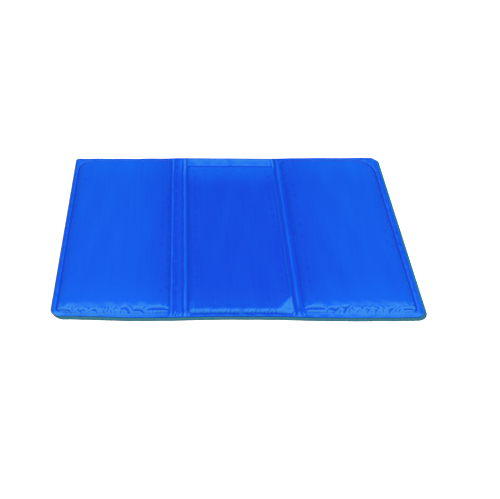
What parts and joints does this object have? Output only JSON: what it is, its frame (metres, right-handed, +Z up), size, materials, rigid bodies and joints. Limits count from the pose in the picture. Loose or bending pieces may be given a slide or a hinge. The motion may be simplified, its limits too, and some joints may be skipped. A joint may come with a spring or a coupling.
{
  "type": "laptop cooling pad",
  "caption": "Folding gel cooling mat for a laptop: flat gel pouches in one welded fabric cover, joined by flat gutters where it folds up like a concertina.",
  "frame": {"origin": "on the table, under the middle of the open mat", "axes": "+X to the user's right along the mat's width, +Y away from the user, +Z up from the table"},
  "size_m": [0.4, 0.3, 0.007],
  "materials": {
    "cover_fabric": "satin",
    "underside_fabric": "matte",
    "cooling_gel": "gloss",
    "foam_sheet": "matte"
  },
  "bodies": {
    "centre_panel": {"centre_top_cover": "cover_fabric", "centre_gel": "cooling_gel", "centre_foam": "foam_sheet", "centre_bottom_cover": "underside_fabric"},
    "left_gutter": {"left_gutter_top": "cover_fabric", "left_gutter_bottom": "underside_fabric"},
    "left_panel": {"left_top_cover": "cover_fabric", "left_gel": "cooling_gel", "left_foam": "foam_sheet", "left_bottom_cover": "underside_fabric"},
    "right_gutter": {"right_gutter_top": "cover_fabric", "right_gutter_bottom": "underside_fabric"},
    "right_panel": {"right_top_cover": "cover_fabric", "right_gel": "cooling_gel", "right_foam": "foam_sheet", "right_bottom_cover": "underside_fabric"}
  },
  "joints": [
    {"name": "right_outer_fold", "type": "hinge", "parent": "right_panel", "child": "right_gutter", "pos_m": [0.069, 0, 0.00285], "axis": [0, 1, 0], "range_deg": [0, 90]},
    {"name": "right_inner_fold", "type": "hinge", "parent": "right_gutter", "child": "centre_panel", "pos_m": [0.059, 0, 0.00285], "axis": [0, 1, 0], "range_deg": [0, 90]},
    {"name": "left_inner_fold", "type": "hinge", "parent": "centre_panel", "child": "left_gutter", "pos_m": [-0.0545, 0, 0.00175], "axis": [0, -1, 0], "range_deg": [0, 155]},
    {"name": "left_outer_fold", "type": "hinge", "parent": "left_gutter", "child": "left_panel", "pos_m": [-0.073, 0, 0.00175], "axis": [0, -1, 0], "range_deg": [0, 25]}
  ],
  "couplings": [
    {"joint": "right_inner_fold", "follows": "right_outer_fold", "ratio": 1},
    {"joint": "left_inner_fold", "follows": "right_outer_fold", "ratio": 1.722},
    {"joint": "left_outer_fold", "follows": "right_outer_fold", "ratio": 0.2777}
  ]
}
